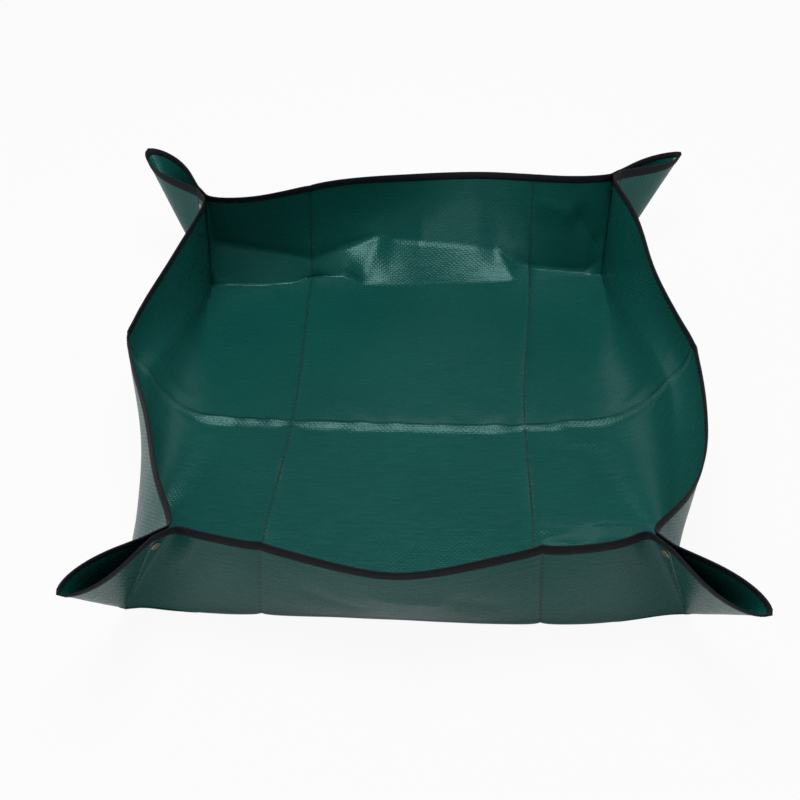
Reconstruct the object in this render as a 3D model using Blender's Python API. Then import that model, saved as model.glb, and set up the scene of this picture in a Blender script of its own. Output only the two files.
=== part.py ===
"""Repotting mat: a square of waterproof laminate that four corner snaps hold up as a shallow tray.

The sheet is cut square. It folds along the four sides of its floor into low walls, and at each corner
the spare cloth is pinched into an ear that stands outward. A snap fastener closes each pinch.
Everything is placed from the size of the flat sheet and the height of the walls.
Metres, Z up, with the floor's underside at Z = 0 and the front of the mat toward -Y.
"""

import math

import bmesh
import bpy
import numpy as np
from mathutils import Matrix, Vector

# The flat sheet and its folds
SIDE = 1.000
WALL = 0.158
SHEET = 0.0005
CLEAR = 0.0003
REACH_SHARE = 0.985
END_PULL_SHARE = 0.6

# The bend between floor and wall is wide at the middle of a wall and sharp at its ends
BEND_END = 0.010
BEND_FRONT = 0.015
BEND_BACK = 0.055
BEND_SIDE = 0.085
BELLY = 0.008
BELLY_HEIGHT_SHARE = 0.4

# The sewn edge tape
TAPE = 0.0005
TAPE_WIDTH = 0.012
TAPE_MARGIN = 0.002

# The pinch at each corner: two layers lie side by side, flat round the snap
PINCH_FLAT_DEG = 4.0
CORNER_FOLD = 0.0009
SNAP_INSET = 0.025
EAR_START = 0.014
EAR_SWING_DEG = 25.0
EAR_ROUND_SHARE = 1.35
EAR_TIP_SHARE = 0.6

# The snap fastener, which measures 12.5 mm across
SNAP_RADIUS = 0.00625
CAP_RISE = 0.0014
CAP_RIM = 0.0006
EYELET_THICK = 0.0009
EYELET_LIP = 0.0003
INNER_FLANGE = 0.0008
INNER_BEVEL = 0.0002
POST_RADIUS = 0.0022
POST_WALL = 0.0006
POST_OVERLAP = 0.0005
SOCKET_HEIGHT = 0.0020
SOCKET_WALL = 0.0009
SPRING_WIRE = 0.00025
SPRING_OPEN_DEG = 30.0
STUD_BASE = 0.0008
STUD_RECESS = 0.0005
STUD_HEAD_RADIUS = 0.0024
STUD_NECK_RADIUS = 0.0021
STUD_TIP = 0.0010
STUD_TOP_WALL = 0.0004

# How finely the folds and the turned pieces are drawn
WALL_COLUMNS = 24
EAR_COLUMNS = 11
CAP_SEGMENTS = 20
INNER_SEGMENTS = 16
SPRING_SEGMENTS = 24
SPRING_SIDES = 6

# Corners, going round from the front left. Each has the place of its floor corner as shares of the
# square floor, the direction of its pinch line, the direction in which its ear points, the angle
# between the pinch line and the ear's own fold, and how far that fold leans out of the pinch's plane.
CORNERS = {
    "front_left": {
        "floor_share": (-0.954, -0.948),
        "pinch_share": (0.41, 0.00, 0.91),
        "ear_share": (-0.60, -0.72, 0.35),
        "ear_deg": 43.0,
        "fold_lean_share": 0.09,
    },
    "front_right": {
        "floor_share": (0.974, -0.930),
        "pinch_share": (-0.27, -0.09, 0.96),
        "ear_share": (0.61, -0.77, 0.16),
        "ear_deg": 43.0,
        "fold_lean_share": 0.01,
    },
    "back_right": {
        "floor_share": (0.799, 0.910),
        "pinch_share": (0.09, 0.29, 0.95),
        "ear_share": (0.48, 0.72, -0.50),
        "ear_deg": 42.5,
        "fold_lean_share": -0.15,
    },
    "back_left": {
        "floor_share": (-0.914, 0.830),
        "pinch_share": (0.02, 0.11, 0.99),
        "ear_share": (-0.52, 0.76, -0.38),
        "ear_deg": 41.5,
        "fold_lean_share": 0.10,
    },
}

# Walls, each from the corner where it starts to the one where it ends. The rim leans outward by
# lean_deg, and slides along the wall by slide_share of its height, at each of the stations below.
# The fold at the floor bows outward there by bow_share of the wall's height.
WALL_STATIONS_SHARE = (0.1, 0.3, 0.5, 0.7, 0.9)
WALLS = {
    "front": {
        "corners": ("front_left", "front_right"),
        "along": (1, 0, 0),
        "out": (0, -1, 0),
        "lean_deg": (3, 13, 22, 14, 6),
        "slide_share": (0.24, 0.09, 0.02, -0.03, -0.09),
        "bow_share": (0.03, 0.08, 0.11, 0.14, 0.07),
        "bend": BEND_FRONT,
    },
    "right": {
        "corners": ("front_right", "back_right"),
        "along": (0, 1, 0),
        "out": (1, 0, 0),
        "lean_deg": (-4, 17, 19, 11, 7),
        "slide_share": (-0.16, 0.00, 0.01, 0.09, 0.22),
        "bow_share": (0.00, 0.00, 0.00, 0.00, 0.00),
        "bend": BEND_SIDE,
    },
    "back": {
        "corners": ("back_right", "back_left"),
        "along": (-1, 0, 0),
        "out": (0, 1, 0),
        "lean_deg": (14, 41, 41, 16, 1),
        "slide_share": (-0.07, -0.05, 0.01, -0.02, -0.03),
        "bow_share": (0.00, 0.00, 0.00, 0.00, 0.00),
        "bend": BEND_BACK,
    },
    "left": {
        "corners": ("back_left", "front_left"),
        "along": (0, -1, 0),
        "out": (-1, 0, 0),
        "lean_deg": (-2, 8, 12, -5, -21),
        "slide_share": (-0.11, -0.04, -0.04, 0.00, 0.01),
        "bow_share": (0.00, 0.00, 0.03, 0.08, 0.07),
        "bend": BEND_SIDE,
    },
}

UP = np.array((0.0, 0.0, 1.0))
FLAT = math.radians(PINCH_FLAT_DEG)
SNAP_REACH = WALL - SNAP_INSET
HALF_INSIDE = (SOCKET_HEIGHT + STUD_BASE + 3 * CLEAR) / 2
LAYER_TILT = (HALF_INSIDE + SHEET - CORNER_FOLD) / SNAP_REACH
HOLE_RADIUS = POST_RADIUS + CLEAR
SOCKET_BORE = STUD_HEAD_RADIUS + CLEAR
SOCKET_GROOVE = SOCKET_BORE + 2 * SPRING_WIRE + CLEAR
SOCKET_RADIUS = SOCKET_GROOVE + SOCKET_WALL
FLANGE_RADIUS = SOCKET_RADIUS + INNER_FLANGE


def unit(vector):
    vector = np.array(vector, float)
    return vector / np.linalg.norm(vector)


class Corner:
    """The frame of one corner: its floor corner, pinch line, ear direction and the pinch's normal."""

    def __init__(self, name, facts):
        half = SIDE / 2 - WALL
        self.name = name
        self.foot = np.array((facts["floor_share"][0] * half, facts["floor_share"][1] * half, 0.0))
        self.pinch = unit(facts["pinch_share"])
        out = np.array(facts["ear_share"], float)
        self.ear = unit(out - out.dot(self.pinch) * self.pinch)
        self.normal = np.cross(self.pinch, self.ear)
        self.level = unit((self.normal[0], self.normal[1], 0.0))
        angle = math.radians(facts["ear_deg"])
        lean = facts["fold_lean_share"] * self.normal
        self.tip = unit(math.cos(angle) * self.pinch + math.sin(angle) * self.ear + lean)
        self.hinge = self.ray(FLAT)
        self.bulge = {side: self.loop_bulge(side) for side in (1, -1)}

    def ray(self, angle):
        """The direction in the pinch plane at this angle from the pinch line, outward for plus."""
        return math.cos(angle) * self.pinch + math.sin(angle) * self.ear

    def spread(self, reach):
        """Half the distance between the two layers' outer faces, this far from the floor corner."""
        return CORNER_FOLD + LAYER_TILT * reach

    def base(self, side):
        """Where the fold between floor and wall ends, on one side of the pinch; side is 1 or -1."""
        return self.foot + side * CORNER_FOLD * self.level

    def layer(self, side, reach, angle):
        """A point on the outer face of one flat layer of the pinch."""
        return self.base(side) + reach * (self.ray(angle) + side * LAYER_TILT * self.normal)

    def seam(self, side, reach):
        """Where the wall's layer ends, clear of the ear at both limits of its swing."""
        outer = self.spread(reach) + SHEET + TAPE + CLEAR
        gap = CLEAR + outer * math.sin(math.radians(EAR_SWING_DEG))
        across = math.cos(FLAT) * self.ear - math.sin(FLAT) * self.pinch
        return self.layer(side, reach, FLAT) - gap * across

    def loop(self, side, share, bulge):
        """The direction of the ear's cloth, from the seam at share 0 to its fold at share 1."""
        swell = share**EAR_ROUND_SHARE * (1 - share) ** EAR_TIP_SHARE
        return unit((1 - share) * self.hinge + share * self.tip + side * bulge * swell * self.normal)

    def loop_bulge(self, side):
        """How far this side of the ear opens, so that its cloth keeps the flat sheet's width."""
        wanted = math.pi / 4 - FLAT
        shares = [i / EAR_COLUMNS for i in range(EAR_COLUMNS + 1)]
        low, high = 0.0, 1.0
        for _ in range(30):
            middle = (low + high) / 2
            rays = [self.loop(side, share, middle) for share in shares]
            length = sum(math.dist(a, b) for a, b in zip(rays, rays[1:]))
            if length < wanted:
                low = middle
            else:
                high = middle
        return low

    def cloth(self, side, share, reach):
        """A point on the outer face of the ear."""
        ray = self.loop(side, share, self.bulge[side])
        apart = side * (1 - share) * (CORNER_FOLD * self.level + LAYER_TILT * reach * self.normal)
        return self.foot + reach * ray + apart

    def snap_frame(self):
        """Origin at the middle of the snap, with Z toward the cap."""
        x, y, z = self.pinch, np.cross(self.normal, self.pinch), self.normal
        place = self.foot + SNAP_REACH * self.pinch
        rows = [(*(float(axis[i]) for axis in (x, y, z)), float(place[i])) for i in range(3)]
        return Matrix((*rows, (0, 0, 0, 1)))


def smooth_curve(stations, points, first_slope, last_slope, wanted):
    """The cubic spline through the points, with the given slopes at its ends."""
    t = np.array(stations, float)
    p = np.array(points, float)
    step = np.diff(t)
    count = len(t)
    matrix = np.eye(count)
    right = np.zeros_like(p)
    right[0], right[-1] = first_slope, last_slope
    for i in range(1, count - 1):
        matrix[i, i - 1] = step[i]
        matrix[i, i] = 2 * (step[i - 1] + step[i])
        matrix[i, i + 1] = step[i - 1]
        before = (p[i] - p[i - 1]) / step[i - 1]
        after = (p[i + 1] - p[i]) / step[i]
        right[i] = 3 * (step[i] * before + step[i - 1] * after)
    slope = np.linalg.solve(matrix, right)
    made = []
    for u in wanted:
        i = min(max(int(np.searchsorted(t, u)) - 1, 0), count - 2)
        s = (u - t[i]) / step[i]
        made.append(
            (1 + 2 * s) * (1 - s) ** 2 * p[i]
            + s * (1 - s) ** 2 * step[i] * slope[i]
            + s * s * (3 - 2 * s) * p[i + 1]
            + s * s * (s - 1) * step[i] * slope[i + 1]
        )
    return made


def wall_shares():
    """Places along a wall, closer together near its ends, where the cloth turns."""
    even = [i / WALL_COLUMNS for i in range(WALL_COLUMNS + 1)]
    return [u - 0.7 * math.sin(2 * math.pi * u) / (2 * math.pi) for u in even]


def wall_rows(wall, corners):
    """Columns of outer points of one wall, each from the floor to the rim."""
    first, last = (corners[name] for name in wall["corners"])
    along, out = np.array(wall["along"], float), np.array(wall["out"], float)
    start, end = first.base(1), last.base(-1)
    length = math.dist(start, end)
    edge_reach = WALL / math.cos(FLAT)
    rim_stations = [0.0, *WALL_STATIONS_SHARE, 1.0]
    rim_points = [first.layer(1, edge_reach, -FLAT)]
    for share, lean, slide in zip(WALL_STATIONS_SHARE, wall["lean_deg"], wall["slide_share"]):
        angle = math.radians(lean)
        rise = math.sin(angle) * out + math.cos(angle) * UP
        base = (1 - share) * start + share * end
        rim_points.append(base + WALL * (REACH_SHARE * rise + slide * along))
    rim_points.append(last.layer(-1, edge_reach, -FLAT))
    shares = wall_shares()
    pull = END_PULL_SHARE * length
    rim = smooth_curve(rim_stations, rim_points, -first.ear * pull, last.ear * pull, shares)
    bow_points = [WALL * share * out for share in (0.0, *wall["bow_share"], 0.0)]
    bows = smooth_curve(rim_stations, bow_points, 0.0 * out, 0.0 * out, shares)
    columns = []
    for share, top, bow in zip(shares, rim, bows):
        base = (1 - share) * start + share * end + bow
        middle = math.sin(math.pi * share)
        climb = unit(top - base)
        inset = wall["bend"] * middle**2
        lift = BEND_END + (wall["bend"] - BEND_END) * middle**2
        foot = base - inset * out
        knee = base + lift * climb
        bend = (foot + 2 * base + knee) / 4
        below = top - (TAPE_WIDTH + TAPE_MARGIN) * climb
        outward = unit(np.cross(end - start, climb))
        belly = knee + BELLY_HEIGHT_SHARE * (below - knee) + BELLY * middle * outward
        columns.append([foot, bend, knee, belly, below, top])
    return columns


def seam_column(corner, side, wall_column):
    """The flat end of a wall at the pinch, beside the wall's first or last column."""
    origin = wall_column[0]
    return [origin] + [corner.seam(side, math.dist(origin, point)) for point in wall_column[1:]]


def wall_columns(name, corners):
    """All columns of a wall, with its two flat ends."""
    wall = WALLS[name]
    first, last = (corners[corner] for corner in wall["corners"])
    columns = wall_rows(wall, corners)
    start = seam_column(first, 1, columns[0])
    end = seam_column(last, -1, columns[-1])
    return [start, *columns, end]


def ear_columns(corner):
    """Columns of outer points of an ear, from one seam round its fold to the other."""
    columns = []
    for i in range(-EAR_COLUMNS, EAR_COLUMNS + 1):
        side = -1 if i < 0 else 1
        share = 1 - abs(i) / EAR_COLUMNS
        angle = FLAT + (math.pi / 4 - FLAT) * share
        edge = WALL / math.cos(angle)
        below = edge - TAPE_WIDTH - TAPE_MARGIN
        middle = (EAR_START + below) / 2
        columns.append([corner.cloth(side, share, reach) for reach in (EAR_START, middle, below, edge)])
    return columns


def material(name, colour, roughness, metallic=0.0):
    made = bpy.data.materials.new(name)
    made.use_nodes = True
    shader = made.node_tree.nodes["Principled BSDF"]
    shader.inputs["Base Color"].default_value = (*colour, 1.0)
    shader.inputs["Roughness"].default_value = roughness
    shader.inputs["Metallic"].default_value = metallic
    return made


def add_object(name, mesh, surface, parent=None, smooth=True):
    """A mesh object in the scene; under a parent it keeps its place in the world."""
    made = bpy.data.objects.new(name, mesh)
    bpy.context.collection.objects.link(made)
    mesh.materials.append(surface)
    if parent is not None:
        mesh.transform(Matrix.Translation(-parent.location))
        made.parent = parent
    for polygon in mesh.polygons:
        polygon.use_smooth = smooth
    return made


def split_quads(below, above):
    """Triangles between two neighbouring columns, all split the same way."""
    faces = []
    for i in range(len(below) - 1):
        faces.append((below[i], above[i], above[i + 1]))
        faces.append((below[i], above[i + 1], below[i + 1]))
    return [face for face in faces if len(set(face)) == 3]


def cloth_mesh(name, column_sets, floor=None):
    """A mesh of the cloth's outer face; points given twice are one vertex."""
    mesh = bpy.data.meshes.new(name)
    index, points, faces = {}, [], []

    def vertex(point):
        key = tuple(np.round(point, 7))
        if key not in index:
            index[key] = len(points)
            points.append([float(value) for value in point])
        return index[key]

    for columns in column_sets:
        numbered = [[vertex(point) for point in column] for column in columns]
        for left, right in zip(numbered, numbered[1:]):
            faces += split_quads(left, right)
    if floor is not None:
        faces.append([vertex(point) for point in floor][::-1])
    mesh.from_pydata(points, [], faces)
    mesh.update()
    return mesh


def thicken(thing):
    """Gives the cloth its thickness, on the inside of the folded mat."""
    solid = thing.modifiers.new("thickness", "SOLIDIFY")
    solid.thickness = SHEET
    solid.offset = -1.0
    return solid


def tape_mesh(name, columns):
    """The edge tape: a U folded over the rim that these columns end in."""
    rims = [np.array(column[-1]) for column in columns]
    tops = [unit(column[-1] - column[-2]) for column in columns]
    inside = -SHEET - CLEAR
    section = [
        (-TAPE_WIDTH, CLEAR),
        (-TAPE_WIDTH, CLEAR + TAPE),
        (CLEAR + TAPE, CLEAR + TAPE),
        (CLEAR + TAPE, inside - TAPE),
        (-TAPE_WIDTH, inside - TAPE),
        (-TAPE_WIDTH, inside),
        (CLEAR, inside),
        (CLEAR, CLEAR),
    ]
    rings = []
    for i, (rim, top) in enumerate(zip(rims, tops)):
        before, after = rims[max(i - 1, 0)], rims[min(i + 1, len(rims) - 1)]
        outward = unit(np.cross(after - before, top))
        rings.append([rim + height * top + away * outward for height, away in section])
    mesh = bpy.data.meshes.new(name)
    count = len(section)
    points = [[float(value) for value in point] for ring in rings for point in ring]
    faces = []
    for i in range(len(rings) - 1):
        for j in range(count):
            a, b = i * count + j, i * count + (j + 1) % count
            c, d = b + count, a + count
            climbs = section[j][0] < section[(j + 1) % count][0]
            faces += [(a, d, c), (a, c, b)] if climbs else [(a, d, b), (b, d, c)]
    faces.append([j for j in range(count)])
    faces.append([(len(rings) - 1) * count + j for j in range(count)][::-1])
    mesh.from_pydata(points, [], faces)
    mesh.update()
    return mesh


def turned_mesh(name, profile, segments):
    """A closed outline of radius and height, turned once round Z."""
    mesh = bpy.data.meshes.new(name)
    work = bmesh.new()
    points = [work.verts.new((radius, 0.0, height)) for radius, height in profile]
    edges = [work.edges.new(pair) for pair in zip(points, points[1:])]
    if profile[0][0] > 0:
        edges.append(work.edges.new((points[-1], points[0])))
    bmesh.ops.spin(
        work,
        geom=points + edges,
        cent=(0, 0, 0),
        axis=(0, 0, 1),
        angle=2 * math.pi,
        steps=segments,
    )
    bmesh.ops.remove_doubles(work, verts=work.verts, dist=CLEAR / 100)
    bmesh.ops.recalc_face_normals(work, faces=work.faces)
    work.to_mesh(mesh)
    work.free()
    return mesh


def spring_mesh(name, radius):
    """An open ring of wire, flat in XY."""
    mesh = bpy.data.meshes.new(name)
    points, faces = [], []
    sweep = 2 * math.pi - math.radians(SPRING_OPEN_DEG)
    for i in range(SPRING_SEGMENTS + 1):
        turn = sweep * i / SPRING_SEGMENTS
        for j in range(SPRING_SIDES):
            around = 2 * math.pi * j / SPRING_SIDES
            reach = radius + SPRING_WIRE * math.cos(around)
            points.append((reach * math.cos(turn), reach * math.sin(turn), SPRING_WIRE * math.sin(around)))
    for i in range(SPRING_SEGMENTS):
        for j in range(SPRING_SIDES):
            a, b = i * SPRING_SIDES + j, i * SPRING_SIDES + (j + 1) % SPRING_SIDES
            faces.append((a, b, b + SPRING_SIDES, a + SPRING_SIDES))
    faces.append([j for j in range(SPRING_SIDES)])
    faces.append([SPRING_SEGMENTS * SPRING_SIDES + j for j in range(SPRING_SIDES)][::-1])
    mesh.from_pydata(points, [], faces)
    work = bmesh.new()
    work.from_mesh(mesh)
    bmesh.ops.recalc_face_normals(work, faces=work.faces)
    work.to_mesh(mesh)
    work.free()
    return mesh


def cap_profile():
    """A domed disc outside the cloth, with a post through it."""
    seat = HALF_INSIDE + SHEET + CLEAR
    post_end = HALF_INSIDE - CLEAR - POST_OVERLAP
    return [
        (0, seat + CAP_RISE),
        (SNAP_RADIUS / 2, seat + CAP_RISE - INNER_BEVEL),
        (SNAP_RADIUS - CAP_RIM, seat + 2 * CAP_RIM),
        (SNAP_RADIUS, seat + CAP_RIM),
        (SNAP_RADIUS - INNER_BEVEL, seat),
        (POST_RADIUS, seat),
        (POST_RADIUS, post_end),
        (0, post_end),
    ]


def socket_profile():
    """A ring inside the cloth, with a groove in its bore for the spring."""
    top = HALF_INSIDE - CLEAR
    bottom = top - SOCKET_HEIGHT
    bore, groove = SOCKET_BORE, SOCKET_GROOVE
    middle = spring_height()
    half = SPRING_WIRE + CLEAR
    return [
        (FLANGE_RADIUS, top),
        (FLANGE_RADIUS, top - STUD_BASE),
        (SOCKET_RADIUS, bottom + INNER_BEVEL),
        (SOCKET_RADIUS - INNER_BEVEL, bottom),
        (bore, bottom),
        (bore, middle - half),
        (groove, middle - half),
        (groove, middle + half),
        (bore, middle + half),
        (bore, top),
    ]


def spring_height():
    """The spring lies in the lower half of the socket, round the stud's neck."""
    return HALF_INSIDE - CLEAR - SOCKET_HEIGHT / 2


def stud_profile():
    """A flange inside the other layer, with a hollow head that enters the socket."""
    back = -(HALF_INSIDE - CLEAR)
    flange = back + STUD_BASE
    hollow = POST_RADIUS - POST_WALL
    recess = POST_RADIUS + CLEAR
    return [
        (recess, back),
        (FLANGE_RADIUS, back),
        (FLANGE_RADIUS, flange - INNER_BEVEL),
        (FLANGE_RADIUS - INNER_BEVEL, flange),
        (STUD_NECK_RADIUS, flange),
        (STUD_HEAD_RADIUS, STUD_TIP - STUD_TOP_WALL),
        (STUD_NECK_RADIUS, STUD_TIP),
        (0, STUD_TIP),
        (0, STUD_TIP - STUD_TOP_WALL),
        (hollow, STUD_TIP - STUD_TOP_WALL),
        (hollow, back + STUD_RECESS),
        (recess, back + STUD_RECESS),
    ]


def eyelet_profile():
    """A flat ring outside the other layer, with a barrel through the cloth into the stud."""
    seat = -(HALF_INSIDE + SHEET + CLEAR)
    barrel_end = -(HALF_INSIDE - CLEAR) + STUD_RECESS - CLEAR
    hollow = POST_RADIUS - POST_WALL
    return [
        (hollow, barrel_end),
        (hollow, seat - EYELET_THICK / 2),
        (hollow + EYELET_LIP, seat - EYELET_THICK),
        (SNAP_RADIUS - 2 * EYELET_LIP, seat - EYELET_THICK),
        (SNAP_RADIUS, seat - EYELET_THICK / 2),
        (SNAP_RADIUS - EYELET_LIP, seat),
        (POST_RADIUS, seat),
        (POST_RADIUS, barrel_end),
    ]


def add_snap(corner, metal, steel):
    """The five pieces of one snap fastener, on the corner's pinch."""
    frame = corner.snap_frame()
    pieces = {
        "cap": turned_mesh("cap", cap_profile(), CAP_SEGMENTS),
        "socket": turned_mesh("socket", socket_profile(), INNER_SEGMENTS),
        "stud": turned_mesh("stud", stud_profile(), INNER_SEGMENTS),
        "eyelet": turned_mesh("eyelet", eyelet_profile(), CAP_SEGMENTS),
    }
    for kind, mesh in pieces.items():
        made = add_object(f"{kind}_{corner.name}", mesh, metal)
        made.matrix_world = frame
    spring = spring_mesh("spring", SOCKET_BORE + SPRING_WIRE)
    made = add_object(f"spring_{corner.name}", spring, steel)
    made.matrix_world = frame @ Matrix.Translation((0, 0, spring_height()))


def add_cutter(name, corners):
    """Eight pins, one through each layer of each pinch, that cut the holes for the snaps."""
    work = bmesh.new()
    for corner in corners.values():
        for side in (1, -1):
            middle = side * (HALF_INSIDE + SHEET / 2)
            place = corner.snap_frame() @ Matrix.Translation((0, 0, middle))
            bmesh.ops.create_cone(
                work,
                cap_ends=True,
                segments=INNER_SEGMENTS,
                radius1=HOLE_RADIUS,
                radius2=HOLE_RADIUS,
                depth=2 * HALF_INSIDE,
                matrix=place,
            )
    mesh = bpy.data.meshes.new(name)
    work.to_mesh(mesh)
    work.free()
    cutter = bpy.data.objects.new(name, mesh)
    bpy.context.collection.objects.link(cutter)
    cutter.hide_render = True
    cutter.display_type = "WIRE"
    return cutter


def add_sheet(corners, cloth):
    """The floor and the four walls, with a hole in each flat layer for its snap."""
    sides = [wall_columns(name, corners) for name in WALLS]
    floor = [column[0] for side in sides for column in side[1:-1]]
    sheet = add_object("mat_sheet", cloth_mesh("mat_sheet", sides, floor), cloth)
    thicken(sheet)
    holes = sheet.modifiers.new("snap_holes", "BOOLEAN")
    holes.operation = "DIFFERENCE"
    holes.solver = "EXACT"
    holes.object = add_cutter("snap_hole_cutter", corners)
    return sides


def add_ear(corner, cloth, tape):
    """One ear and its tape, on an empty at the hinge line where the ear leaves the pinch."""
    hinge = bpy.data.objects.new(f"hinge_{corner.name}", None)
    bpy.context.collection.objects.link(hinge)
    hinge.location = Vector([float(value) for value in corner.foot])
    columns = ear_columns(corner)
    name = f"ear_{corner.name}"
    thicken(add_object(name, cloth_mesh(name, [columns]), cloth, hinge))
    name = f"ear_tape_{corner.name}"
    add_object(name, tape_mesh(name, columns), tape, hinge, smooth=False)
    axis = ", ".join(f"{value:.6f}" for value in corner.hinge)
    foot = ", ".join(f"{value:.6f}" for value in corner.foot)
    print(f"hinge {corner.name}: point {foot} axis {axis}")


def main():
    for thing in list(bpy.data.objects):
        bpy.data.objects.remove(thing, do_unlink=True)
    cloth = material("green_laminate", (0.012, 0.075, 0.062), 0.38)
    tape = material("dark_woven_tape", (0.016, 0.012, 0.017), 0.75)
    metal = material("nickel_plate", (0.42, 0.36, 0.33), 0.32, 1.0)
    steel = material("spring_steel", (0.35, 0.35, 0.36), 0.30, 1.0)
    corners = {name: Corner(name, facts) for name, facts in CORNERS.items()}
    sides = add_sheet(corners, cloth)
    for name, columns in zip(WALLS, sides):
        add_object(f"tape_{name}", tape_mesh(f"tape_{name}", columns), tape, smooth=False)
    for corner in corners.values():
        add_ear(corner, cloth, tape)
        add_snap(corner, metal, steel)


main()
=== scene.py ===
"""Repotting mat: the looks of a green woven laminate sheet that four corner snaps fold into a tray.

The cloth is laid out from the flat sheet: every point knows its place on the sheet, in metres from
the middle, and creases, folds and patterns are drawn there.
"""

import math

import bpy
import numpy as np
from bpy.props import FloatProperty, FloatVectorProperty, IntProperty, PointerProperty
from mathutils import Matrix, Vector, noise


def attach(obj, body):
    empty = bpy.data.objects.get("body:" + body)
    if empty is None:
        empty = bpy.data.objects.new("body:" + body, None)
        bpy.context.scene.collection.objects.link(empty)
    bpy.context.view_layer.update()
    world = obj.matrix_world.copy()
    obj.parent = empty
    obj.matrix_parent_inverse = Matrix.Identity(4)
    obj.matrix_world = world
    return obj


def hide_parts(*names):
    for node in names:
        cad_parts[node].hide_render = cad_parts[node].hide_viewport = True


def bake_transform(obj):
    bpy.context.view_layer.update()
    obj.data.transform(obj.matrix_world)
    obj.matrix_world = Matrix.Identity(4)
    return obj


bl_info = {
    "name": "Repotting mat",
    "version": (1, 0, 0),
    "blender": (4, 5, 0),
    "location": "View3D > Sidebar > Repotting mat",
    "description": "Builds the folded sheet, edge tape, stitching and snaps of a repotting mat",
    "category": "Object",
}

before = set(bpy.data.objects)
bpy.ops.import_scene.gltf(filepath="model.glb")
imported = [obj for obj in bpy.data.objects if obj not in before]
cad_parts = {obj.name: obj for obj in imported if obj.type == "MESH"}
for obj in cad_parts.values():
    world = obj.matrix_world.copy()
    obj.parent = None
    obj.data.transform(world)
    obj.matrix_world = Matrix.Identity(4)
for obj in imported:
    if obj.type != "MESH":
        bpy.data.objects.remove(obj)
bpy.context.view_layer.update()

MM = 0.001
UP = np.array((0.0, 0.0, 1.0))
SNAP_PARTS = ("cap", "socket", "spring", "stud", "eyelet")
PHOTO_WIDTH_PX = 800
SENSOR_MM = 36.0
FLOOR_REACH = 6.0
FLOOR_DROP = 0.3 * MM

# Folds of the sheet, as the solids have them. Sizes in metres.
CORNER_FOLD = 0.9 * MM
PINCH_FLAT = math.radians(4.0)
REACH_SHARE = 0.985
END_PULL_SHARE = 0.6
EAR_ROUND_SHARE = 1.35
EAR_TIP_SHARE = 0.6
SNAP_INSET = 25.0 * MM
LAYER_GAP = 4.7 * MM
BEND_END = 10.0 * MM
BELLY = 8.0 * MM
KINK_SPREAD_SHARE = 0.045
WALL_STATIONS_SHARE = (0.1, 0.3, 0.5, 0.7, 0.9)
CREASE_SHARE = 1 / 6
EDGE_COLUMNS = 4
WALL_COLUMNS = slice(EDGE_COLUMNS, -EDGE_COLUMNS)

# Where columns lie closer together, as shares of a wall's length, and how much closer at a crease.
END_DENSE_SHARE = 0.04
CREASE_DENSE_SHARE = 0.012
CREASE_DENSITY = 2.5

# Relief of the cloth: how far it fades out round the snaps, and the widths of creases and folds.
RELIEF_FADE = 55.0 * MM
CREASE_SOFT = 15.0 * MM
CREASE_SHARP = 3.5 * MM
CREASE_SHARP_SHARE = 0.35
THIRD_CREASE_SHARE = 0.85
MAIN_CREASE_SLOPE = 13.0 * MM
MAIN_CREASE_SOFT = 24.0 * MM
WAVER = 1.5 * MM
FOLD_END = 9.0 * MM
FOLD_RUN_IN = 30.0 * MM
RAMP_END = 12.0 * MM
RAMP_REACH_SHARE = 2.6

# Noise over the flat sheet: waves to the metre along u and v, and a seed.
CREASE_WAVER = (16.0, 16.0, 3.1)
CREASE_STRENGTH = (9.0, 9.0, 7.7)
MAIN_CREASE_BREAKS = (38.0, 30.0, 5.2)
BROAD_WRINKLES = (7.0, 7.0, 0.3)
FINE_WRINKLES = (23.0, 19.0, 1.7)

# The folded tape's section, and how far the thread stands off it.
TAPE_EDGE = 0.1 * MM
TAPE_SWELL = 0.05 * MM
TAPE_BEND_SHARE = 0.45
THREAD_LIFT = 0.1 * MM

# Patterns of the laminate, in metres on the flat sheet, whose middle is at 0.5 in its UV map. The
# tapes of the weave are 2.5 mm wide, drawn coarser so that they stay visible from afar. Along the
# creases the film is rubbed pale, and just before the middle crease's line this pale strip is also
# a painted highlight; along the very line of each crease a painted shade is laid.
UV_MIDDLE = 0.5
WEAVE_PITCH = 3.4 * MM
SCUFF_AND_HIGHLIGHT_SHIFT = -6.0 * MM
SCUFF_AND_HIGHLIGHT_WIDTH = 11.0 * MM
THIRD_SCUFF_AND_HIGHLIGHT_WIDTH = 9.0 * MM
PAINTED_SHADE_SHIFT = 1.5 * MM
PAINTED_SHADE_WIDTH = 2.6 * MM
THIRD_PAINTED_SHADE_WIDTH = 3.4 * MM
PUCKER_PLACE = 30.0 * MM
PUCKER_WIDTH = 70.0 * MM

# Lamps: name, place, what they point at, diameter and power.
LAMPS = (
    ("overhead softbox", (-0.05, 0.05, 2.3), (0, 0, 0), 1.35, 31.0),
    ("front fill", (-0.7, -1.5, 1.7), (0.1, 0.2, 0), 1.2, 4.0),
)

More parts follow.
